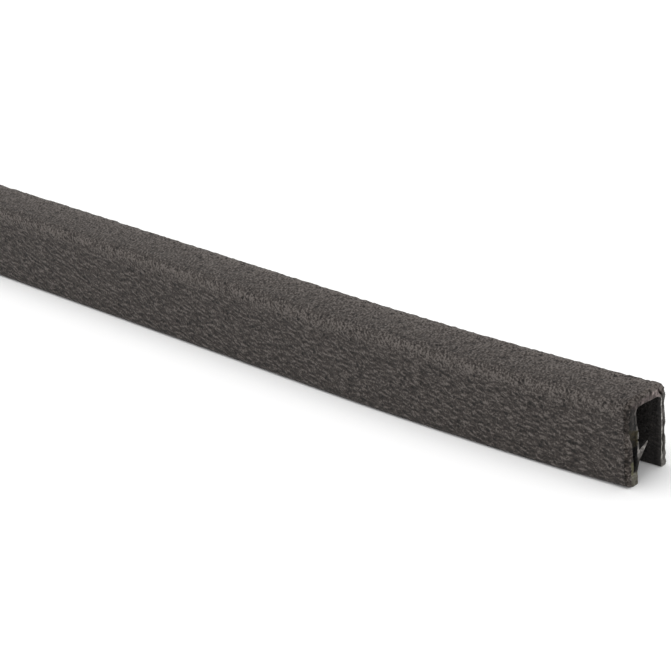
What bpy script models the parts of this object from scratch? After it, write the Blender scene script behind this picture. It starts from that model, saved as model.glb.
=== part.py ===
# Push-on edge trim: one straight length of extruded soft vinyl channel, metres, +Z up.
# It stands on the tips of its two legs, mouth down, its length along X.
# The origin is under the middle of its box, on the level that the tips rest on.
# The -Y leg is the thick one: it carries the gripping tongue and the thin slot in its wall.
# Near its +X end the length keeps a slight sideways set towards +Y, and both ends are cut at right
# angles to the straight run.

from math import asin, atan2, ceil, cos, radians, sin, tan

import bmesh
import bpy
from mathutils import Matrix, Vector

# Driving dimensions, in metres
STOCK_LENGTH = 0.3048
OUTSIDE_WIDTH = 0.0095
OUTSIDE_HEIGHT = 0.0143
TONGUE_LEG_WALL = 0.0023
TONGUE_LEG_FOOT_WALL = 0.0025
PLAIN_LEG_WALL = 0.0011
WEB_WALL = 0.00163

SHOULDER_RADIUS = 0.0017
TONGUE_LEG_CORNER_RADIUS = 0.00065
PLAIN_LEG_CORNER_RADIUS = 0.001
TONGUE_LEG_TIP_RADIUS = 0.0009
PLAIN_LEG_TIP_RADIUS = 0.00045

# The pad is the band of the thick leg's inner face that stands proud, where the tongue grows from it.
# Above the foot it rises towards the tongue's underside, and above the tongue it runs out upwards.
PAD_RISE = 0.0006
PAD_BOTTOM = 0.0021
PAD_TOP = 0.0080
PAD_UPPER_RUNOUT = 0.0028
PAD_BLEND_RADIUS = 0.0026

TONGUE_REACH = 0.00215
TONGUE_ROOT_BOTTOM = 0.00365
TONGUE_ROOT_TOP = 0.0054
TONGUE_TIP_HEIGHT = 0.00607
TONGUE_TIP_THICKNESS = 0.00034
TONGUE_ROOT_RADIUS = 0.00015
TONGUE_UNDERSIDE_RADIUS = 0.0012

# The slot is open at both cut ends, and only its lining parts it from the channel
SLOT_LINING = 0.0004
SLOT_BOTTOM = 0.0024
SLOT_BOTTOM_WIDTH = 0.0006
SLOT_TOP = 0.0065
SLOT_TOP_WIDTH = 0.0012
SLOT_CORNER_RADIUS = 0.0001

END_SET_LENGTH = 0.0622
END_SET_RADIUS = 0.714

# Facets
ARC_STEP = radians(15)
SET_STEPS = 8

VINYL_COLOUR = (0.077, 0.066, 0.060)
VINYL_ROUGHNESS = 0.55


def rounded_outline(corners):
    """Points of a closed outline whose corners are (y, z, radius), each rounded by a tangent arc."""
    points = []
    for index, (y, z, radius) in enumerate(corners):
        corner = Vector((y, z))
        before = Vector(corners[index - 1][:2]) - corner
        after = Vector(corners[(index + 1) % len(corners)][:2]) - corner
        opening = before.angle(after)
        reach = min(radius / tan(opening / 2), 0.49 * before.length, 0.49 * after.length)
        true_radius = reach * tan(opening / 2)
        inward = (before.normalized() + after.normalized()).normalized()
        centre = corner + inward * (true_radius / sin(opening / 2))
        start = corner + before.normalized() * reach - centre
        end = corner + after.normalized() * reach - centre
        turn = atan2(start.x * end.y - start.y * end.x, start.dot(end))
        steps = max(1, ceil(abs(turn) / ARC_STEP))
        for step in range(steps + 1):
            angle = turn * step / steps
            points.append(
                (
                    centre.x + start.x * cos(angle) - start.y * sin(angle),
                    centre.y + start.x * sin(angle) + start.y * cos(angle),
                )
            )
    return points


def channel_outline():
    """The section's outer boundary: the U of the two legs and the web, with the pad and the tongue."""
    outer = OUTSIDE_WIDTH / 2
    plain_face = outer - PLAIN_LEG_WALL
    tongue_face = TONGUE_LEG_WALL - outer
    foot_face = TONGUE_LEG_FOOT_WALL - outer
    pad_face = tongue_face + PAD_RISE
    web_face = OUTSIDE_HEIGHT - WEB_WALL
    tongue_end = pad_face + TONGUE_REACH
    half_tip = TONGUE_TIP_THICKNESS / 2
    return rounded_outline(
        [
            (-outer, 0.0, TONGUE_LEG_TIP_RADIUS),
            (foot_face, 0.0, TONGUE_LEG_TIP_RADIUS),
            (foot_face, PAD_BOTTOM, PAD_BLEND_RADIUS),
            (pad_face, TONGUE_ROOT_BOTTOM, TONGUE_UNDERSIDE_RADIUS),
            (tongue_end, TONGUE_TIP_HEIGHT - half_tip, half_tip),
            (tongue_end, TONGUE_TIP_HEIGHT + half_tip, half_tip),
            (pad_face, TONGUE_ROOT_TOP, TONGUE_ROOT_RADIUS),
            (pad_face, PAD_TOP, PAD_BLEND_RADIUS),
            (tongue_face, PAD_TOP + PAD_UPPER_RUNOUT, PAD_BLEND_RADIUS),
            (tongue_face, web_face, TONGUE_LEG_CORNER_RADIUS),
            (plain_face, web_face, PLAIN_LEG_CORNER_RADIUS),
            (plain_face, 0.0, PLAIN_LEG_TIP_RADIUS),
            (outer, 0.0, PLAIN_LEG_TIP_RADIUS),
            (outer, OUTSIDE_HEIGHT, SHOULDER_RADIUS),
            (-outer, OUTSIDE_HEIGHT, SHOULDER_RADIUS),
        ]
    )


def slot_outline():
    """The slot inside the thick leg, whose inner side follows the leg's inner face and the pad."""
    foot_wall = TONGUE_LEG_FOOT_WALL - OUTSIDE_WIDTH / 2 - SLOT_LINING
    pad_wall = TONGUE_LEG_WALL - OUTSIDE_WIDTH / 2 + PAD_RISE - SLOT_LINING
    return rounded_outline(
        [
            (foot_wall - SLOT_BOTTOM_WIDTH, SLOT_BOTTOM, SLOT_CORNER_RADIUS),
            (foot_wall, SLOT_BOTTOM, SLOT_CORNER_RADIUS),
            (pad_wall, TONGUE_ROOT_BOTTOM, SLOT_CORNER_RADIUS),
            (pad_wall, SLOT_TOP, SLOT_CORNER_RADIUS),
            (pad_wall - SLOT_TOP_WIDTH, SLOT_TOP, SLOT_CORNER_RADIUS),
        ]
    )


def section_faces(mesh, x):
    """The filled section across the length at x, with the slot left out."""
    edges = []
    for outline in (channel_outline(), slot_outline()):
        points = [mesh.verts.new((x, y, z)) for y, z in outline]
        edges += [mesh.edges.new((points[i - 1], points[i])) for i in range(len(points))]
    filled = bmesh.ops.triangle_fill(mesh, edges=edges, use_beauty=True, normal=(1, 0, 0))
    return [face for face in filled["geom"] if isinstance(face, bmesh.types.BMFace)]


def stations():
    """Where the section stands: both ends of the straight run, then steps along the set's arc."""
    far_end = -STOCK_LENGTH / 2
    set_start = STOCK_LENGTH / 2 - END_SET_LENGTH
    places = [Matrix.Translation((far_end, 0, 0)), Matrix.Translation((set_start, 0, 0))]
    turn = asin(END_SET_LENGTH / END_SET_RADIUS)
    pivot = Vector((set_start, END_SET_RADIUS, 0))
    for step in range(1, SET_STEPS + 1):
        swing = Matrix.Rotation(turn * step / SET_STEPS, 4, "Z")
        places.append(Matrix.Translation(pivot) @ swing @ Matrix.Translation(-pivot) @ places[1])
    return places


def cut_square(points, place):
    """Slides the last section's points along the length until they lie in the end's cut plane."""
    along = place.to_3x3() @ Vector((1, 0, 0))
    for point in points:
        point.co += along * ((STOCK_LENGTH / 2 - point.co.x) / along.x)
        point.co.x = STOCK_LENGTH / 2


def centre_on_width(mesh):
    """Puts the origin midway between the two extreme sides."""
    sides = [point.co.y for point in mesh.verts]
    middle = (min(sides) + max(sides)) / 2
    bmesh.ops.translate(mesh, verts=mesh.verts, vec=(0, -middle, 0))


def extruded_trim():
    mesh = bmesh.new()
    places = stations()
    faces = section_faces(mesh, places[0].translation.x)
    for index in range(1, len(places)):
        edges = list(dict.fromkeys(edge for face in faces for edge in face.edges))
        grown = bmesh.ops.extrude_face_region(mesh, geom=faces + edges, use_keep_orig=index == 1)
        points = [item for item in grown["geom"] if isinstance(item, bmesh.types.BMVert)]
        step = places[index] @ places[index - 1].inverted()
        bmesh.ops.transform(mesh, matrix=step, verts=points)
        faces = [item for item in grown["geom"] if isinstance(item, bmesh.types.BMFace)]
    cut_square(points, places[-1])
    centre_on_width(mesh)
    bmesh.ops.recalc_face_normals(mesh, faces=mesh.faces)
    return mesh


def vinyl():
    material = bpy.data.materials.new("soft_vinyl")
    material.use_nodes = True
    shader = material.node_tree.nodes["Principled BSDF"]
    shader.inputs["Base Color"].default_value = (*VINYL_COLOUR, 1.0)
    shader.inputs["Roughness"].default_value = VINYL_ROUGHNESS
    shader.inputs["Metallic"].default_value = 0.0
    return material


def add_object(name, mesh, material):
    data = bpy.data.meshes.new(name)
    mesh.to_mesh(data)
    mesh.free()
    data.shade_smooth()
    data.set_sharp_from_angle(angle=2 * ARC_STEP)
    data.materials.append(material)
    piece = bpy.data.objects.new(name, data)
    bpy.context.scene.collection.objects.link(piece)
    return piece


for old in list(bpy.data.objects):
    bpy.data.objects.remove(old)

add_object("edge_trim", extruded_trim(), vinyl())
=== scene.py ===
import math

import bmesh
import bpy
from mathutils import Matrix, Vector, noise
from mathutils.geometry import intersect_point_line


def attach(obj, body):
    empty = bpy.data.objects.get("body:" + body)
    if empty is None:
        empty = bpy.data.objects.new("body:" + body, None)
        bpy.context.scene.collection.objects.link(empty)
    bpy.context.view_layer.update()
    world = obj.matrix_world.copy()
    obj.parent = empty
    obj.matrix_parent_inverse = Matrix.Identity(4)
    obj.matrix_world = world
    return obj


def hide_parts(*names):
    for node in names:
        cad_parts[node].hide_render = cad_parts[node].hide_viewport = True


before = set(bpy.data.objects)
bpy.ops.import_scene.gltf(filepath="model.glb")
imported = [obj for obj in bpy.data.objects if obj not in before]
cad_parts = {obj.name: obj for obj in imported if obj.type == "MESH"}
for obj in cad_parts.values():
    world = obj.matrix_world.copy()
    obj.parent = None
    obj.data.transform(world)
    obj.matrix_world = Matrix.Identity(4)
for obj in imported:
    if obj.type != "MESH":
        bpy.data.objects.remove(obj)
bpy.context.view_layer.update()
print("frame loaded")

# The strip's own sizes repeat the solid's. All lengths are in metres.
strip = {
    "halfLength": 0.1524,
    "setStart": 0.0902,  # from here on the length bends slightly sideways
    "setRadius": 0.714,
    "middle": -0.0013665,  # centreline of the straight run
    "halfWidth": 0.00475,
    "height": 0.0143,
    "webFace": 0.01267,
    "skinDepth": 0.0012,  # how far in from the outer faces the grained skin reaches
    "skinFade": 0.0006,
    "runs": [(0.160, 0.0014), (0.065, 0.0007)],  # length and ring spacing, from the far end
    "nearSpacing": 0.00046,
    "farCutSpacing": 0.00026,
    "nearCutSpacing": 0.00016,
    "skinEdge": 0.00032,  # longest step around the section, on the skin and inside
    "liningEdge": 0.0016,
    "innerMerge": 0.00012,  # points of the inner faces that lie closer than this become one
    "samePoint": 1e-6,
    "bladeSnap": 1e-7,
    "slotMark": 0.1,  # distances around the slot start from here
    "seamJump": 0.004,  # a face whose distances differ by more crosses the start of the count
    "sharpFrom": math.radians(50),
}


# 0 at the first place and 1 at the second, so it falls where the first is the larger
def smooth(start, end, value):
    t = min(1, max(0, (value - start) / (end - start)))
    return t * t * (3 - 2 * t)


# 1 below an edge and 0 above it
def below(edge, blur, value):
    return smooth(edge + blur, edge - blur, value)


def follow(points, place):
    for (low, start), (high, end) in zip(points, points[1:]):
        if place <= high:
            return start + (end - start) * max(0, place - low) / (high - low)
    return points[-1][1]


def skinShare(across, z):
    beyond = max(abs(across) - strip["halfWidth"], z - strip["height"])
    return min(1, max(0, (beyond + strip["skinDepth"]) / strip["skinFade"]))


# The far end's outlines come from the solid; the long edges are divided for the grain
def divideRing(solid):
    mesh = bmesh.new()
    mesh.from_mesh(solid.data)
    bmesh.ops.remove_doubles(mesh, verts=mesh.verts, dist=strip["samePoint"])
    beyond = [v for v in mesh.verts if v.co.x > 10 * strip["samePoint"] - strip["halfLength"]]
    bmesh.ops.delete(mesh, geom=beyond, context="VERTS")
    bmesh.ops.delete(mesh, geom=[e for e in mesh.edges if not e.is_boundary], context="EDGES")
    bmesh.ops.delete(mesh, geom=list(mesh.faces), context="FACES_ONLY")
    inner = [v for v in mesh.verts if skinShare(v.co.y - strip["middle"], v.co.z) == 0]
    bmesh.ops.remove_doubles(mesh, verts=inner, dist=strip["innerMerge"])
    groups = {}
    for edge in mesh.edges:
        centre = (edge.verts[0].co + edge.verts[1].co) / 2
        outside = skinShare(centre.y - strip["middle"], centre.z) > 0
        limit = strip["skinEdge"] if outside else strip["liningEdge"]
        cuts = math.ceil(edge.calc_length() / limit) - 1
        if cuts > 0:
            groups.setdefault(cuts, []).append(edge)
    for cuts, edges in groups.items():
        bmesh.ops.subdivide_edges(mesh, edges=edges, cuts=cuts)
    return mesh


# Distance around each outline; the channel's starts in the middle of the web's inner face
def measureAround(mesh):
    around = mesh.verts.layers.float.new("around")
    base = 0
    girths = []
    waiting = dict.fromkeys(sorted(mesh.verts, key=lambda v: v.co.z))
    while waiting:
        loop = {}
        front = [next(iter(waiting))]
        while front:
            loop.update(dict.fromkeys(front))
            nearby = [e.other_vert(v) for v in front for e in v.link_edges]
            front = [v for v in nearby if v not in loop]
        for v in loop:
            waiting.pop(v)
        here = min(loop, key=lambda v: abs(v.co.y - strip["middle"]) + abs(v.co.z - strip["webFace"]))
        onward = min((e.other_vert(here) for e in here.link_edges), key=lambda v: v.co.y)
        walked = 0
        here[around] = base
        seen = {here}
        while onward:
            walked += (onward.co - here.co).length
            onward[around] = base + walked
            seen.add(onward)
            here = onward
            nearby = [e.other_vert(here) for e in here.link_edges]
            onward = next((v for v in nearby if v not in seen), None)
        girths.append(walked)
        base += strip["slotMark"]
    return girths


# The outlines run along the length, and the last stretch is bent about the set's pivot. The faces
# are made one by one, because Blender's own extrusion gives them in another order each run.
def sweepRing(mesh):
    total = 2 * strip["halfLength"]
    straight = strip["setStart"] + strip["halfLength"]
    angle = math.asin((total - straight) / strip["setRadius"])
    centreline = straight + angle * strip["setRadius"]
    nearRun = centreline - sum(length for length, spacing in strip["runs"])
    ring = list(mesh.edges)
    for length, spacing in strip["runs"] + [(nearRun, strip["nearSpacing"])]:
        starts = dict.fromkeys(v for e in ring for v in e.verts)
        ends = {v: mesh.verts.new(v.co + Vector((length, 0, 0)), v) for v in starts}
        rails = [mesh.edges.new(pair) for pair in ends.items()]
        for a, b in [e.verts for e in ring]:
            mesh.faces.new((a, b, ends[b], ends[a]))
        ring = [mesh.edges.get([ends[v] for v in e.verts]) for e in ring]
        bmesh.ops.subdivide_edges(mesh, edges=rails, cuts=round(length / spacing) - 1)
    along = mesh.verts.layers.float.new("along")
    across = mesh.verts.layers.float.new("across")
    pivot = Vector((strip["setStart"], strip["middle"] + strip["setRadius"], 0))
    for v in mesh.verts:
        v[along] = v.co.x + strip["halfLength"]
        v[across] = v.co.y - strip["middle"]
        if v[along] > straight:
            bend = (v[along] - straight) / strip["setRadius"]
            reach = Vector((0, v.co.y - pivot.y, v.co.z))
            v.co = pivot + Matrix.Rotation(bend, 3, "Z") @ reach
    lastPoints = {v for e in ring for v in e.verts}
    slide = Vector((math.cos(angle), math.sin(angle), 0))
    for v in lastPoints:
        v.co += slide * ((strip["halfLength"] - v.co.x) / slide.x)
    return ring


# A cut end: both outlines filled, then divided finely enough to carry the cut's own relief
def fillCut(mesh, edges, spacing):
    across = mesh.verts.layers.float["across"]
    middle = edges[0].verts[0].co.y - edges[0].verts[0][across]
    filled = bmesh.ops.triangle_fill(mesh, edges=edges, use_beauty=True, normal=(1, 0, 0))
    faces = [item for item in filled["geom"] if isinstance(item, bmesh.types.BMFace)]
    geom = list(dict.fromkeys(item for f in faces for item in (f, *f.edges, *f.verts)))
    half = strip["halfWidth"]
    spans = [
        (1, middle - half, middle + half, spacing),
        (2, 0, strip["height"], spacing),
        (1, middle + cutEnd["fineFrom"], middle + half, spacing / 2),
    ]
    for axis, low, high, gap in spans:
        steps = round((high - low) / gap)
        for step in range(1, steps):
            centre = Vector((0, 0, 0))
            normal = Vector((0, 0, 0))
            centre[axis] = low + (high - low) * step / steps
            normal[axis] = 1
            geom = bmesh.ops.bisect_plane(
                mesh, geom=geom, dist=strip["bladeSnap"], plane_co=centre, plane_no=normal
            )["geom"]
    cutFaces = [item for item in geom if isinstance(item, bmesh.types.BMFace)]
    for v in dict.fromkeys(v for f in cutFaces for v in f.verts):
        v[across] = v.co.y - middle
    return cutFaces


# Raised creases of the embossed skin: 1 on a crest, 0 in the deepest pore
grain = {
    "side": {"slant": math.radians(13), "length": 0.0015, "width": 0.00050, "seed": 1.3},
    "shoulder": {"slant": math.radians(65), "length": 0.0010, "width": 0.00042, "seed": 5.9},
    "top": {"slant": math.radians(-13), "length": 0.0011, "width": 0.00045, "seed": 8.2},
    "shoulderFrom": (0.0112, 0.0128),  # heights over which one kind gives way to the next
    "topFrom": (0.0138, 0.0142),
    "depth": 0.00016,
    "topDepth": 0.00024,
    "deepFrom": (0.0118, 0.0132),
    "footFade": (0.0004, 0.0024),
    "level": 0.65,  # this relief lies in the solid's surface
    "wander": 0.6,
    "wanderCells": 700,  # a metre
    "broadSeed": 4.7,
    "narrowSeed": 9.1,
    "narrowCells": (2.1, 1.9),
    "narrowShare": 0.5,
    "contrast": 0.9,
}


def creases(s, q, kind):
    slant = kind["slant"]
    seed = kind["seed"]
    a = (s * math.cos(slant) - q * math.sin(slant)) / kind["length"]
    b = (s * math.sin(slant) + q * math.cos(slant)) / kind["width"]
    b += grain["wander"] * noise.noise(Vector((s * grain["wanderCells"], q * grain["wanderCells"], seed)))
    finer, closer = grain["narrowCells"]
    broad = noise.noise(Vector((a, b, seed + grain["broadSeed"])))
    narrow = noise.noise(Vector((a * finer, b * closer, seed + grain["narrowSeed"])))
    return min(1, max(0, 0.5 + grain["contrast"] * (broad + grain["narrowShare"] * narrow)))


def grainHeight(s, q, z):
    top = smooth(*grain["topFrom"], z)
    shoulder = smooth(*grain["shoulderFrom"], z) * (1 - top)
    shares = {"side": 1 - top - shoulder, "shoulder": shoulder, "top": top}
    return sum(share * creases(s, q, grain[name]) for name, share in shares.items() if share > 0)


# How the knife left the cuts. Where a list holds pairs, the first of a pair is a height, and in
# wedgeTop a place across. Across is counted from the section's middle.
cutEnd = {
    "rollRadius": 0.00060,  # the skin is dragged round the cut's outer edge
    "thinRollRadius": 0.00022,
    "footRoll": 0.3,
    "rollLength": 0.0030,
    "rolledTo": [
        (0.0000, -0.00382),
        (0.0042, -0.00382),
        (0.0047, -0.00345),
        (0.0070, -0.00345),
        (0.0097, -0.00430),
        (0.0112, -0.00400),
        (0.0126, -0.00380),
    ],
    "rolledWeb": 0.00090,
    "drag": {"slant": 0.9, "length": 0.0008, "width": 0.00045, "seed": 2.6},
    "dragDepth": 0.00014,
    "lining": 0.00040,  # paler band along the channel's edge
    "farLining": 0.00036,
    "wedgeTop": [(-0.0050, 0.0100115), (-0.0010, 0.0082315)],  # torn place above the slot
    "wedgeLeft": [(0.0000, -0.0009700), (0.0143, -0.0059750)],
    "wedgeBack": 0.00030,
    "crackPath": [
        (0.0010, 0.00430),
        (0.0026, 0.00412),
        (0.0050, 0.00408),
        (0.0062, 0.00408),
        (0.0080, 0.00412),
        (0.0112, 0.00408),
        (0.01235, 0.00398),
        (0.0136, 0.00309),
    ],
    "crackHalfWidth": [
        (0.0022, 0.00003),
        (0.0027, 0.00022),
        (0.0051, 0.00025),
        (0.0058, 0.00009),
        (0.0092, 0.00007),
        (0.0112, 0.00008),
        (0.0125, 0.00015),
        (0.0136, 0.00010),
    ],
    "crackBack": 0.00055,
    "crackLeast": 0.4,
    "crackDash": 1.1,
    "skinFrom": 0.3,  # the share of skin from which an edge counts; the plain leg's inner face has less
    "fineFrom": 0.0034,  # the plain leg's cut is divided twice as finely, from here outwards
    "blur": 0.0001,
    "wedgeBlur": 0.0002,
    "crackBlur": 0.00006,
    "raggedRoll": 0.00012,
    "raggedWeb": 0.0003,
    "raggedLining": 0.00008,
}

# Noise over the cuts: its cells a metre across and upwards, and its seed
cutNoise = {
    "rough": (1300, 900, 3.1),
    "fine": (2600, 2600, 6.4),
    "dash": (150, 900, 7.7),
    "streak": (2300, 260, 8.8),
    "mottle": (200, 520, 4.4),
    "waver": (300, 1100, 2.2),
}

# Where each mark of the cuts starts and where it is full: heights, unless a name says across or gap
zones = {
    "web": (0.0120, 0.0128),
    "nearLegAcross": (-0.0010, -0.0015),
    "farLegAcross": (0.0030, 0.0034),
    "thinRollAcross": (-0.0015, 0.0040),
    "footRoll": (0.0004, 0.0024),
    "webRollGap": (0.00015, -0.00025),
    "wedge": (0.0064, 0.0066),
    "wedgeDeep": (0.0098, 0.0078),
    # the painted shade over the torn wedge grows downwards from here
    "wedgeDeepShade": (0.0088, 0.0070),
    "crackBottom": (0.0006, 0.0016),
    "crackTop": (0.0137, 0.0134),
    "crackAcross": (0.0028, 0.0031),
    "crackOpenTop": (0.0112, 0.0122),
    "crackOpenLow": (0.0056, 0.0052),
    "tongueFromAcross": (-0.0024, -0.0022),
    "tongueToAcross": (0.0010, 0.0008),
    "tongue": (0.0100, 0.0070),
    "foot": (0.0025, 0.0020),
    "ridgeTop": (0.0044, 0.0040),
    "ridgeBottom": (0.0018, 0.0022),
    "ridgeAcross": (-0.0030, -0.0033),
    "shadedTop": (0.0046, 0.0038),
    "shadedBottom": (0.0020, 0.0026),
    "shadedAcross": (-0.0030, -0.0027),
    "upperLining": (0.0070, 0.0090),
    "webAcross": (-0.0040, 0.0036),
    "cornerGap": (0.0013, 0.0004),
    "farFoot": (0.0030, 0.0020),
    "farLiningFoot": (0.0030, 0.0018),
    "farLiningTop": (0.0114, 0.0121),
    "upperLeg": (0.0088, 0.0100),
    "rolledFoot": (0.0028, 0.0012),
    "rolledMiddleBottom": (0.0064, 0.0074),
    "rolledMiddleTop": (0.0100, 0.0086),
}

# How light each part of the cuts is, added up, and what shares of it the dark marks then take away; the
# crack, the shaded lining, the torn wedge and the corner by the thick leg's shoulder are darkened as
# painted shade
cutTones = {
    "core": 0.26,
    "pale": 0.38,  # for the lining in full, and by the next two shares for the foot and the tongue
    "footShare": 0.85,
    "tongueShare": 0.95,
    "upperLining": -0.25,
    "ridge": 0.24,
    "web": 0.06,
    "webAcross": 0.34,
    "webRough": 0.14,
    # painted shade in the cut's corner by the thick leg's shoulder
    "corner": -0.16,
    "shadedCornerPlace": (-0.0038, 0.0128),
    "farLeg": 0.20,
    "farFoot": 0.12,
    "farLining": -0.12,
    "farLiningMottle": 0.40,
    "farLiningFoot": -0.30,
    "farLiningTop": -0.20,
    "upperStreak": 0.60,
    "upperLeg": -0.20,
    "rolledFoot": 0.15,
    "rolledMiddle": 0.22,
    "rough": 0.12,
    "farRough": 0.12,
    "fine": 0.14,
    "paleFine": 0.16,
    # painted shade: the crack is painted nearly black
    "crack": 0.95,
    "shaded": 0.70,
    # painted shade over the torn wedge, and more of it lower down
    "wedge": 0.25,
    "wedgeDeepShade": 0.60,
    "most": 0.66,  # the lightest it gets, and how much more that is on the plain leg and the web
    "farMost": 0.34,
    "tongueMost": 0.4,  # share of that for the tongue
    "footOlive": 0.18,  # shares of the wedge's brown
    "ridgeOlive": 0.45,
}


def cutGrain(name, across, z):
    cellsAcross, cellsUp, seed = cutNoise[name]
    return noise.noise(Vector((across * cellsAcross, z * cellsUp, seed)))


def lineGap(spot, a, b):
    share = min(1, max(0, intersect_point_line(spot, a, b)[1]))
    return (a.lerp(b, share) - spot).length


def rollBack(across, z, gap):
    thin = smooth(*zones["thinRollAcross"], across)
    radius = cutEnd["rollRadius"] + (cutEnd["thinRollRadius"] - cutEnd["rollRadius"]) * thin
    bend = max(0, 1 - gap / radius)
    share = cutEnd["footRoll"] + (1 - cutEnd["footRoll"]) * smooth(*zones["footRoll"], z)
    return radius * (1 - math.sqrt(1 - bend * bend)) * share


# How much of each mark lies at a point of the cut
def findMarks(across, z, outerGap, innerGap):
    rough = cutGrain("rough", across, z)
    web = smooth(*zones["web"], z)
    nearLeg = smooth(*zones["nearLegAcross"], across) * (1 - web)
    farLeg = smooth(*zones["farLegAcross"], across) * (1 - web)
    rolledTo = follow(cutEnd["rolledTo"], z) + cutEnd["raggedRoll"] * rough
    webRoll = outerGap - cutEnd["rolledWeb"] + cutEnd["raggedWeb"] * rough
    dragged = nearLeg * below(rolledTo, cutEnd["blur"], across)
    dragged = max(dragged, web * smooth(*zones["webRollGap"], webRoll))

    liningWidth = cutEnd["lining"] + (cutEnd["farLining"] - cutEnd["lining"]) * farLeg
    lining = below(liningWidth, cutEnd["blur"], innerGap + cutEnd["raggedLining"] * rough) * (1 - web)
    wedge = smooth(*zones["wedge"], z) * below(follow(cutEnd["wedgeTop"], across), cutEnd["wedgeBlur"], z)
    wedge *= 1 - below(follow(cutEnd["wedgeLeft"], z), cutEnd["blur"], across)
    wedge *= (1 - lining) * nearLeg

    opened = max(smooth(*zones["crackOpenTop"], z), smooth(*zones["crackOpenLow"], z))
    dash = 1 + cutEnd["crackDash"] * cutGrain("dash", across, z)
    crack = min(1, max(cutEnd["crackLeast"], dash, opened))
    crackGap = abs(across - follow(cutEnd["crackPath"], z))
    crack *= below(follow(cutEnd["crackHalfWidth"], z), cutEnd["crackBlur"], crackGap)
    crack *= smooth(*zones["crackBottom"], z) * smooth(*zones["crackTop"], z)
    crack *= smooth(*zones["crackAcross"], across)
    return {
        "rough": rough,
        "web": web,
        "nearLeg": nearLeg,
        "farLeg": farLeg,
        "dragged": dragged,
        "rolled": dragged * (1 - crack),
        "lining": lining,
        "wedge": wedge,
        "crack": crack,
    }


# How far a point of the cut lies back from the knife's plane
def setBack(across, z, outerGap, marks):
    back = rollBack(across, z, outerGap)
    back += marks["dragged"] * cutEnd["dragDepth"] * creases(across, z, cutEnd["drag"])
    back += cutEnd["wedgeBack"] * marks["wedge"] * smooth(*zones["wedgeDeep"], z)
    return back + cutEnd["crackBack"] * marks["crack"]


# How light the cut is at a point, painted shade included, and whether it is pink, neutral, olive or brown
# there
def toneCut(across, z, marks):
    web, nearLeg, farLeg, lining = (marks[name] for name in ("web", "nearLeg", "farLeg", "lining"))
    rough = marks["rough"]
    rolled = marks["rolled"]
    bareLeg = nearLeg * (1 - rolled)
    tongue = smooth(*zones["tongueFromAcross"], across) * smooth(*zones["tongueToAcross"], across)
    tongue *= smooth(*zones["tongue"], z)
    foot = smooth(*zones["foot"], z) * bareLeg
    ridge = smooth(*zones["ridgeTop"], z) * smooth(*zones["ridgeBottom"], z) * bareLeg
    ridge *= smooth(*zones["ridgeAcross"], across)
    shaded = smooth(*zones["shadedTop"], z) * smooth(*zones["shadedBottom"], z)
    shaded *= smooth(*zones["shadedAcross"], across) * nearLeg

    litLining = lining * (1 - shaded) * (1 + cutTones["upperLining"] * smooth(*zones["upperLining"], z))
    pale = max(litLining, cutTones["footShare"] * foot, cutTones["tongueShare"] * tongue)
    tone = cutTones["core"] + cutTones["pale"] * pale + cutTones["ridge"] * ridge

    webTone = cutTones["web"] + cutTones["webAcross"] * smooth(*zones["webAcross"], across)
    tone += web * (webTone + cutTones["webRough"] * rough)
    # painted shade in the corner by the thick leg's shoulder
    shadedCornerAcross, shadedCornerHeight = cutTones["shadedCornerPlace"]
    cornerGap = math.hypot(across - shadedCornerAcross, z - shadedCornerHeight)
    tone += cutTones["corner"] * smooth(*zones["cornerGap"], cornerGap)

    tone += farLeg * (cutTones["farLeg"] + cutTones["farFoot"] * smooth(*zones["farFoot"], z))
    farLining = cutTones["farLining"] + cutTones["farLiningMottle"] * cutGrain("mottle", across, z)
    farLining += cutTones["farLiningFoot"] * smooth(*zones["farLiningFoot"], z)
    farLining += cutTones["farLiningTop"] * smooth(*zones["farLiningTop"], z)
    tone += farLeg * lining * farLining

    upper = cutTones["upperStreak"] * cutGrain("streak", across, z) + cutTones["upperLeg"] * (1 - lining)
    tone += nearLeg * smooth(*zones["upperLeg"], z) * upper
    middle = smooth(*zones["rolledMiddleBottom"], z) * smooth(*zones["rolledMiddleTop"], z)
    rolledFoot = smooth(*zones["rolledFoot"], z)
    tone += rolled * (cutTones["rolledFoot"] * rolledFoot + cutTones["rolledMiddle"] * middle)

    tone += (cutTones["rough"] + cutTones["farRough"] * farLeg) * rough
    fineShare = cutTones["fine"] + cutTones["paleFine"] * max(lining, tongue, web)
    tone += fineShare * cutGrain("fine", across, z)
    # painted shade: the crack painted nearly black and the shaded lining darker
    tone *= (1 - cutTones["crack"] * marks["crack"]) * (1 - cutTones["shaded"] * shaded)
    # painted shade: the torn wedge is painted darker, more so lower down in its recess
    wedgeShade = cutTones["wedge"] + cutTones["wedgeDeepShade"] * smooth(*zones["wedgeDeepShade"], z)
    tone *= 1 - marks["wedge"] * wedgeShade
    most = cutTones["most"] + cutTones["farMost"] * max(farLeg, web, cutTones["tongueMost"] * tongue)
    olive = max(marks["wedge"], cutTones["footOlive"] * foot, cutTones["ridgeOlive"] * ridge)
    return min(most, max(0, tone)), 0.5 + 0.5 * olive - 0.5 * web


def dressCut(mesh, faces, edges):
    layers = mesh.verts.layers.float
    outward = 1 if edges[0].verts[0].co.x > 0 else -1
    skinLines = []
    liningLines = []
    for edge in edges:
        if edge.verts[0][layers["around"]] >= strip["slotMark"]:
            continue
        a, b = (Vector((0, v[layers["across"]], v.co.z)) for v in edge.verts)
        centre = (a + b) / 2
        outside = skinShare(centre.y, centre.z) > cutEnd["skinFrom"]
        (skinLines if outside else liningLines).append((a, b))
    for v in dict.fromkeys(v for f in faces for v in f.verts):
        spot = Vector((0, v[layers["across"]], v.co.z))
        outerGap = min(lineGap(spot, a, b) for a, b in skinLines)
        innerGap = min(lineGap(spot, a, b) for a, b in liningLines)
        marks = findMarks(spot.y, spot.z, outerGap, innerGap)
        v.co.x -= outward * setBack(spot.y, spot.z, outerGap, marks)
        v[layers["cutTone"]], v[layers["tint"]] = toneCut(spot.y, spot.z, marks)
        v[layers["rolled"]] = marks["rolled"]


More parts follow.
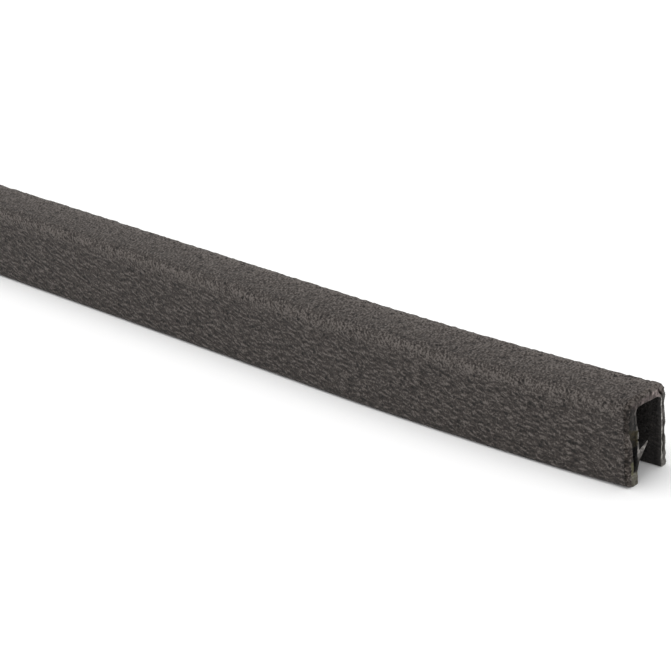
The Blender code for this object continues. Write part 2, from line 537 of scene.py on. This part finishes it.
# What the knife did to the near end beyond its cut. Flares are pairs of a height and a shift.
nearEnd = {
    "length": 0.0025,
    "footPress": (0, 0.00006, 0.00018),  # the thick leg's outer corner
    "footPressLength": 0.012,
    "footPressGap": (0.0021, 0.0003),
    "footSpread": [(-0.0025, (0, 0.00014, -0.00022)), (0.0047, (0, 0.00007, -0.00014))],
    "footSpreadGap": (0.0011, 0.0003),
    "footSpreadHeight": (0, 0.00025),
    "outerAcross": (0.0042, 0.0047),
    "legAcross": (0.0030, 0.0036),
    "legHeight": (0.0132, 0.0120),
    "flare": [(0, 0.00012), (0.003, 0.00025), (0.006, 0.00012), (0.0143, 0.00008)],
    "innerFlare": [
        (0.0022, 0),
        (0.0030, 0.00020),
        (0.0062, 0.00020),
        (0.0080, 0.00013),
        (0.0116, 0.00015),
        (0.0126, 0.00008),
        (0.0143, 0),
    ],
    "waver": 0.00030,
    "innerWaver": 0.4,
    "webSag": 0.00035,
    "sagFromAcross": (-0.0010, 0.0026),
    "sagToAcross": (0.0040, 0.0034),
    "sagHeight": 0.0124,
    "sagGap": (0.0014, 0.0002),
    "nick": 0.00016,
    "nickLength": 0.0008,
    "nickAcross": 0.0022,
    "nickGap": (0.00040, 0.00010),
    "nickHeight": (0.0130, 0.0140),
}


# The skin beside both cuts follows its rolled edge. At the near end the knife also pressed the
# thick leg's foot in, spread both feet, flared the plain leg and left its edges wavy.
def dragEnds(mesh, capVerts):
    layers = mesh.verts.layers.float
    end = max(v[layers["along"]] for v in mesh.verts)
    for v in mesh.verts:
        along = v[layers["along"]]
        across = v[layers["across"]]
        gap = min(along, end - along)
        if v not in capVerts and gap < cutEnd["rollLength"] and v[layers["skin"]] > 0:
            outward = 1 if along > gap else -1
            roll = rollBack(across, v.co.z, 0) * v[layers["skin"]] * (1 - gap / cutEnd["rollLength"])
            v.co.x -= outward * roll
        if end - along > nearEnd["footPressLength"]:
            continue
        cornerGap = math.hypot(across + strip["halfWidth"], v.co.z)
        press = smooth(*nearEnd["footPressGap"], cornerGap)
        press *= smooth(end - nearEnd["footPressLength"], end, along)
        v.co += Vector(nearEnd["footPress"]) * press
        close = smooth(end - nearEnd["length"], end, along)
        for corner, spread in nearEnd["footSpread"]:
            share = smooth(*nearEnd["footSpreadGap"], math.hypot(across - corner, v.co.z))
            v.co += Vector(spread) * close * share * smooth(*nearEnd["footSpreadHeight"], v.co.z)
        outer = smooth(*nearEnd["outerAcross"], across)
        leg = smooth(*nearEnd["legAcross"], across) * smooth(*nearEnd["legHeight"], v.co.z)
        v.co.y += close * outer * follow(nearEnd["flare"], v.co.z)
        v.co.y += close * leg * (1 - outer) * follow(nearEnd["innerFlare"], v.co.z)
        waver = nearEnd["waver"] * (nearEnd["innerWaver"] + (1 - nearEnd["innerWaver"]) * outer)
        v.co.y += close * waver * cutGrain("waver", across, v.co.z)
        sag = smooth(*nearEnd["sagFromAcross"], across) * smooth(*nearEnd["sagToAcross"], across)
        sag *= smooth(*nearEnd["sagGap"], abs(v.co.z - nearEnd["sagHeight"]))
        v.co.z -= close * sag * nearEnd["webSag"]
        nick = smooth(*nearEnd["nickGap"], abs(across - nearEnd["nickAcross"]))
        nick *= smooth(*nearEnd["nickHeight"], v.co.z) * smooth(end - nearEnd["nickLength"], end, along)
        v.co.z -= nick * nearEnd["nick"]


def embossSkin(mesh, capVerts):
    layers = mesh.verts.layers.float
    for v in mesh.verts:
        share = skinShare(v[layers["across"]], v.co.z)
        relief = grainHeight(v[layers["along"]], v[layers["around"]], v.co.z) if share > 0 else 0.5
        v[layers["skin"]] = share
        v[layers["relief"]] = relief
    for v in mesh.verts:
        if v[layers["skin"]] > 0 and v not in capVerts:
            deeper = smooth(*grain["deepFrom"], v.co.z)
            depth = grain["depth"] + (grain["topDepth"] - grain["depth"]) * deeper
            depth *= smooth(*grain["footFade"], v.co.z)
            v.co += v.normal * depth * v[layers["skin"]] * (v[layers["relief"]] - grain["level"])
    print("skin embossed")


# The map's two directions are the distances along and around, in metres
def mapRun(mesh, girths):
    layers = mesh.verts.layers.float
    runMap = mesh.loops.layers.uv.new("runMap")
    for face in mesh.faces:
        values = [loop.vert[layers["around"]] for loop in face.loops]
        middle = (max(values) + min(values)) / 2
        crosses = max(values) - min(values) > strip["seamJump"]
        girth = girths[1] if min(values) >= strip["slotMark"] else girths[0]
        for loop, value in zip(face.loops, values):
            around = value + girth if crosses and value < middle else value
            loop[runMap].uv = (loop.vert[layers["along"]], around)


def dressStrip():
    mesh = divideRing(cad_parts["edge_trim"])
    girths = measureAround(mesh)
    farEdges = list(mesh.edges)
    nearEdges = sweepRing(mesh)
    print("strip swept:", len(farEdges), "points around,", len(mesh.verts), "in all")
    cuts = [
        (fillCut(mesh, farEdges, strip["farCutSpacing"]), farEdges),
        (fillCut(mesh, nearEdges, strip["nearCutSpacing"]), nearEdges),
    ]
    bmesh.ops.recalc_face_normals(mesh, faces=mesh.faces)
    mesh.normal_update()
    for name in ("relief", "skin", "cutTone", "tint", "rolled"):
        mesh.verts.layers.float.new(name)
    capVerts = {v for faces, edges in cuts for f in faces for v in f.verts}
    embossSkin(mesh, capVerts)
    mapRun(mesh, girths)
    for faces, edges in cuts:
        dressCut(mesh, faces, edges)
        for face in faces:
            face.material_index = 1
    dragEnds(mesh, capVerts)
    print("ends cut")
    data = bpy.data.meshes.new("edgeTrim")
    mesh.to_mesh(data)
    mesh.free()
    data.shade_smooth()
    data.set_sharp_from_angle(angle=strip["sharpFrom"])
    piece = bpy.data.objects.new("edgeTrim", data)
    bpy.context.scene.collection.objects.link(piece)
    return piece


# Settings are set before values, because a group's inputs come with its node tree
def addNode(tree, kind, values=None, **settings):
    made = tree.nodes.new(kind)
    for name, value in settings.items():
        setattr(made, name, value)
    for name, value in (values or {}).items():
        if isinstance(value, bpy.types.NodeSocket):
            tree.links.new(value, made.inputs[name])
        else:
            made.inputs[name].default_value = value
    return made


def addMath(tree, operation, *values):
    return addNode(tree, "ShaderNodeMath", dict(enumerate(values)), operation=operation).outputs[0]


# Adds a share of how far the value is from the middle of its range
def addSwing(tree, value, share, total):
    return addMath(tree, "MULTIPLY_ADD", addMath(tree, "SUBTRACT", value, 0.5), share, total)


def addRange(tree, value, low, high, toLow=0, toHigh=1):
    ends = {"Value": value, "From Min": low, "From Max": high, "To Min": toLow, "To Max": toHigh}
    return addNode(tree, "ShaderNodeMapRange", ends).outputs["Result"]


def addRamp(tree, factor, stops):
    ramp = addNode(tree, "ShaderNodeValToRGB", {"Fac": factor})
    while len(ramp.color_ramp.elements) < len(stops):
        ramp.color_ramp.elements.new(0.5)
    for element, (place, colour) in zip(ramp.color_ramp.elements, stops):
        element.position = place
        element.color = (*colour, 1)
    return ramp.outputs["Color"]


def addBlend(tree, factor, first, second, blend="MIX"):
    made = addNode(tree, "ShaderNodeMix", {"Factor": factor}, data_type="RGBA", blend_type=blend)
    for socket, colour in zip([s for s in made.inputs if s.type == "RGBA"], (first, second)):
        if isinstance(colour, bpy.types.NodeSocket):
            tree.links.new(colour, socket)
        else:
            socket.default_value = (*colour, 1)
    return next(s for s in made.outputs if s.type == "RGBA")


def readAttribute(tree, name):
    return addNode(tree, "ShaderNodeAttribute", attribute_name=name).outputs["Fac"]


def startMaterial(name):
    paint = bpy.data.materials.new(name)
    paint.use_nodes = True
    return paint, paint.node_tree, paint.node_tree.nodes["Principled BSDF"]


def addGroup(tree, group, values):
    return addNode(tree, "ShaderNodeGroup", values, node_tree=group).outputs[0]


fineMarks = {
    "passes": [(0, 0.75), (1.2, -0.12), (-1.2, -0.12)],  # a streak darkens what lies on both its sides
    "streaks": {"Scale": 1, "Detail": 0.7, "Roughness": 0.5, "Distortion": 0.5},
    "specks": {"Scale": 3300, "Detail": 2, "Roughness": 0.6},
    "pores": {"Scale": 640},
    "poreSize": (0.06, 0.22),
    "poreDepth": 0.42,
}


# Streaks, specks and pores too fine for the mesh
def makeStreakGroup():
    group = bpy.data.node_groups.new("streaks", "ShaderNodeTree")
    sockets = {"Vector": "Vector", "Slant": "Float", "Stretch": "Vector", "Specks": "Float"}
    for name, kind in sockets.items():
        group.interface.new_socket(name=name, in_out="INPUT", socket_type="NodeSocket" + kind)
    group.interface.new_socket(name="Height", in_out="OUTPUT", socket_type="NodeSocketFloat")
    start = group.nodes.new("NodeGroupInput").outputs
    finish = group.nodes.new("NodeGroupOutput").inputs
    place = start["Vector"]
    turn = {"Vector": place, "Angle": start["Slant"]}
    turned = addNode(group, "ShaderNodeVectorRotate", turn, rotation_type="Z_AXIS").outputs["Vector"]
    stretch = {0: turned, 1: start["Stretch"]}
    stretched = addNode(group, "ShaderNodeVectorMath", stretch, operation="MULTIPLY").outputs["Vector"]
    height = 0.5
    for shift, weight in fineMarks["passes"]:
        move = {0: stretched, 1: (0, shift, 0)}
        shifted = addNode(group, "ShaderNodeVectorMath", move, operation="ADD").outputs["Vector"]
        waves = {"Vector": shifted, **fineMarks["streaks"]}
        streak = addNode(group, "ShaderNodeTexNoise", waves).outputs["Fac"]
        height = addSwing(group, streak, weight, height)
    dots = {"Vector": place, **fineMarks["specks"]}
    specks = addNode(group, "ShaderNodeTexNoise", dots).outputs["Fac"]
    height = addSwing(group, specks, start["Specks"], height)
    cells = {"Vector": place, **fineMarks["pores"]}
    distance = addNode(group, "ShaderNodeTexVoronoi", cells).outputs["Distance"]
    pores = addRange(group, distance, *fineMarks["poreSize"], 1, 0)
    height = addMath(group, "MULTIPLY_ADD", pores, -fineMarks["poreDepth"], height)
    group.links.new(height, finish["Height"])
    return group


skinLook = {
    # the grain's height painted as light and shade: pores darkest, ridges lighter, crests given a painted
    # glint
    "tones": [
        (0.25, (0.008, 0.0063, 0.0052)),  # pore, in painted shade
        (0.43, (0.0255, 0.0203, 0.0175)),  # ground
        (0.54, (0.046, 0.0378, 0.0332)),  # ridge
        (0.72, (0.120, 0.1045, 0.0950)),  # painted glint
    ],
    # painted shade: the channel's inside is painted nearly black, where it lies in shade
    "lining": (0.0045, 0.0040, 0.0037),
    "dashes": {"Slant": grain["side"]["slant"], "Stretch": (1050, 2650, 1), "Specks": 0.90},
    "strokes": {"Slant": grain["shoulder"]["slant"], "Stretch": (1900, 3300, 1), "Specks": 1.0},
    "reliefShare": 0.22,
    # shares of the height, and how light the skin is there: the shoulder rubbed pale by wear and given a
    # painted highlight, the top painted lighter and the side and foot painted darker, as the light falls
    "wearAndPaintedLight": [
        (0.00, 0.30),
        (0.11, 0.42),
        (0.20, 0.50),
        (0.78, 0.52),
        (0.92, 0.90),
        (0.965, 0.78),
        (0.99, 0.68),
        (1.00, 0.72),
    ],
    "wearAndPaintedLightShare": 0.30,
    "topContrast": (0.0136, 0.0142, 1.0, 0.8),
    "topHighlightLean": (0.0134, 0.0143, 0, 14),  # painted highlight: the top is painted paler towards the plain leg
    # painted highlight on the plain leg's shoulder: paler, with more contrast in its grain
    "farEdgeAcross": (0.0020, 0.0042),
    "farEdgeHeight": (0.0125, 0.0135),
    "farShoulderLightContrast": 0.8,
    "farShoulderLightTone": 0.09,
    "bump": {"Strength": 1, "Distance": 0.00026},
    "roughness": 0.6,
    "specular": 0.3,
}


def makeSkin(streaks):
    paint, tree, shader = startMaterial("grainedSkin")
    runMap = addNode(tree, "ShaderNodeUVMap", uv_map="runMap").outputs["UV"]
    place = addNode(tree, "ShaderNodeTexCoord").outputs["Object"]
    z = addNode(tree, "ShaderNodeSeparateXYZ", {"Vector": place}).outputs["Z"]
    across = readAttribute(tree, "across")
    shoulder = addRange(tree, z, *grain["shoulderFrom"])
    fine = addNode(tree, "ShaderNodeMix", {"Factor": shoulder}, data_type="FLOAT")
    tree.links.new(addGroup(tree, streaks, {"Vector": runMap, **skinLook["dashes"]}), fine.inputs[2])
    tree.links.new(addGroup(tree, streaks, {"Vector": runMap, **skinLook["strokes"]}), fine.inputs[3])
    height = addSwing(tree, readAttribute(tree, "relief"), skinLook["reliefShare"], fine.outputs[0])
    # wear on the shoulder, with painted light and shade over the height: lighter top, darker side and
    # foot
    wearAndPaintedLightStops = [(share, (tone,) * 3) for share, tone in skinLook["wearAndPaintedLight"]]
    wearAndPaintedLight = addRamp(tree, addRange(tree, z, 0, strip["height"]), wearAndPaintedLightStops)
    # painted highlight on the plain leg's shoulder
    farShoulderLight = addRange(tree, across, *skinLook["farEdgeAcross"])
    farShoulderLight = addMath(tree, "MULTIPLY", farShoulderLight, addRange(tree, z, *skinLook["farEdgeHeight"]))
    contrast = addRange(tree, z, *skinLook["topContrast"])
    contrast = addMath(tree, "MULTIPLY_ADD", farShoulderLight, skinLook["farShoulderLightContrast"], contrast)
    toned = addSwing(tree, height, contrast, 0.5)
    toned = addSwing(tree, wearAndPaintedLight, skinLook["wearAndPaintedLightShare"], toned)
    # painted highlight: the top painted paler towards the plain leg
    toned = addMath(tree, "MULTIPLY_ADD", across, addRange(tree, z, *skinLook["topHighlightLean"]), toned)
    toned = addMath(tree, "MULTIPLY_ADD", farShoulderLight, skinLook["farShoulderLightTone"], toned)
    tones = addRamp(tree, toned, skinLook["tones"])
    # away from the skin the inside takes the near-black painted shade
    colour = addBlend(tree, readAttribute(tree, "skin"), skinLook["lining"], tones)
    tree.links.new(colour, shader.inputs["Base Color"])
    bump = addNode(tree, "ShaderNodeBump", {"Height": height, **skinLook["bump"]})
    tree.links.new(bump.outputs["Normal"], shader.inputs["Normal"])
    shader.inputs["Roughness"].default_value = skinLook["roughness"]
    shader.inputs["Specular IOR Level"].default_value = skinLook["specular"]
    return paint


cutLook = {
    "tones": [
        (0.03, (0.005, 0.0045, 0.004)),  # crack, in painted shade
        (0.30, (0.030, 0.0265, 0.0235)),  # core
        (0.65, (0.118, 0.110, 0.103)),  # lining
        (0.98, (0.480, 0.460, 0.430)),  # lightest streak
    ],
    "tints": [
        (0.00, (1.0, 0.86, 0.88)),  # pink
        (0.50, (1.0, 1.0, 1.0)),
        (0.75, (0.97, 1.0, 0.58)),  # olive
        (1.00, (1.0, 0.84, 0.34)),  # brown
    ],
    "streaks": {"Slant": 0.0, "Stretch": (2600, 1500, 1), "Specks": 0.7},
    "streakShare": 0.45,
    "rolledStreaks": {"Slant": cutEnd["drag"]["slant"], "Stretch": (1900, 2600, 1), "Specks": 0.9},
    "rolledLift": 0.17,
    "rolledToneShare": 0.55,
    "bump": {"Strength": 0.8, "Distance": 0.00014},
    "roughness": 0.65,
    "specular": 0.15,
}


def makeCut(streaks):
    paint, tree, shader = startMaterial("cutVinyl")
    place = addNode(tree, "ShaderNodeTexCoord").outputs["Object"]
    sideways = (0, math.pi / 2, 0)
    face = addNode(tree, "ShaderNodeMapping", {"Vector": place, "Rotation": sideways}).outputs["Vector"]
    cutTone = readAttribute(tree, "cutTone")
    height = addGroup(tree, streaks, {"Vector": face, **cutLook["streaks"]})
    shade = addSwing(tree, height, cutLook["streakShare"], cutTone)
    tone = addRamp(tree, shade, cutLook["tones"])
    tint = addRamp(tree, readAttribute(tree, "tint"), cutLook["tints"])
    bare = addBlend(tree, 1.0, tone, tint, "MULTIPLY")
    dragged = addGroup(tree, streaks, {"Vector": face, **cutLook["rolledStreaks"]})
    dragged = addMath(tree, "SUBTRACT", dragged, cutLook["rolledLift"])
    dragged = addMath(tree, "MULTIPLY_ADD", cutTone, cutLook["rolledToneShare"], dragged)
    rolledSkin = addRamp(tree, dragged, skinLook["tones"])
    colour = addBlend(tree, readAttribute(tree, "rolled"), bare, rolledSkin)
    tree.links.new(colour, shader.inputs["Base Color"])
    bump = addNode(tree, "ShaderNodeBump", {"Height": height, **cutLook["bump"]})
    tree.links.new(bump.outputs["Normal"], shader.inputs["Normal"])
    shader.inputs["Roughness"].default_value = cutLook["roughness"]
    shader.inputs["Specular IOR Level"].default_value = cutLook["specular"]
    return paint


streaks = makeStreakGroup()
edgeTrim = dressStrip()
edgeTrim.data.materials.append(makeSkin(streaks))
edgeTrim.data.materials.append(makeCut(streaks))
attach(edgeTrim, "root")
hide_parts("edge_trim")
print("strip dressed")

# Camera, turned first by roll, then down by tilt, then round by heading
photoView = {
    "eye": (0.31282, -0.22454, 0.15863),
    "heading": math.radians(44.58),
    "tilt": math.radians(25.634),
    "roll": math.radians(-4.60),
    "lens": 114.1,  # millimetres, as the sensor
    "sensor": 36,
    "nearest": 0.01,
}


def placeCamera(view):
    camera = bpy.data.objects.new("photoCamera", bpy.data.cameras.new("photoCamera"))
    bpy.context.scene.collection.objects.link(camera)
    turn = (
        Matrix.Rotation(view["heading"], 4, "Z")
        @ Matrix.Rotation(math.pi / 2 - view["tilt"], 4, "X")
        @ Matrix.Rotation(view["roll"], 4, "Z")
    )
    camera.matrix_world = Matrix.Translation(view["eye"]) @ turn
    camera.data.lens = view["lens"]
    camera.data.sensor_width = view["sensor"]
    camera.data.clip_start = view["nearest"]
    bpy.context.scene.camera = camera


placeCamera(photoView)
print("camera placed")

studio = {
    "air": 0.68,
    "floorHalfSize": 3,
    "floorColour": (0.9, 0.9, 0.9, 1),
    "floorRoughness": 0.9,
    "lights": [
        {
            "name": "overheadLight",
            "place": (-0.2, -0.2, 1.6),
            "aim": (0.05, 0, 0),
            "size": 1.8,
            "power": 20.5,
        },
        {
            "name": "endLight",
            "place": (1.4, -0.7, 0.7),
            "aim": (0.15, 0, 0.01),
            "size": 0.8,
            "power": 4.4,
        },
    ],
}


def lightStudio():
    world = bpy.data.worlds.new("studioAir")
    world.use_nodes = True
    world.node_tree.nodes["Background"].inputs["Color"].default_value = (1, 1, 1, 1)
    world.node_tree.nodes["Background"].inputs["Strength"].default_value = studio["air"]
    bpy.context.scene.world = world
    bpy.context.scene.view_settings.view_transform = "Standard"
    for settings in studio["lights"]:
        lamp = bpy.data.lights.new(settings["name"], "AREA")
        lamp.size = settings["size"]
        lamp.energy = settings["power"]
        light = bpy.data.objects.new(settings["name"], lamp)
        reach = Vector(settings["place"]) - Vector(settings["aim"])
        turn = reach.to_track_quat("Z", "Y").to_matrix().to_4x4()
        light.matrix_world = Matrix.Translation(settings["place"]) @ turn
        bpy.context.scene.collection.objects.link(light)


def layFloor():
    mesh = bmesh.new()
    bmesh.ops.create_grid(mesh, x_segments=1, y_segments=1, size=studio["floorHalfSize"])
    data = bpy.data.meshes.new("floor")
    mesh.to_mesh(data)
    mesh.free()
    sheet = bpy.data.objects.new("floor", data)
    bpy.context.scene.collection.objects.link(sheet)
    paint, tree, shader = startMaterial("floorPaint")
    shader.inputs["Base Color"].default_value = studio["floorColour"]
    shader.inputs["Roughness"].default_value = studio["floorRoughness"]
    data.materials.append(paint)
    return sheet


lightStudio()
floor = layFloor()
print("studio lit")
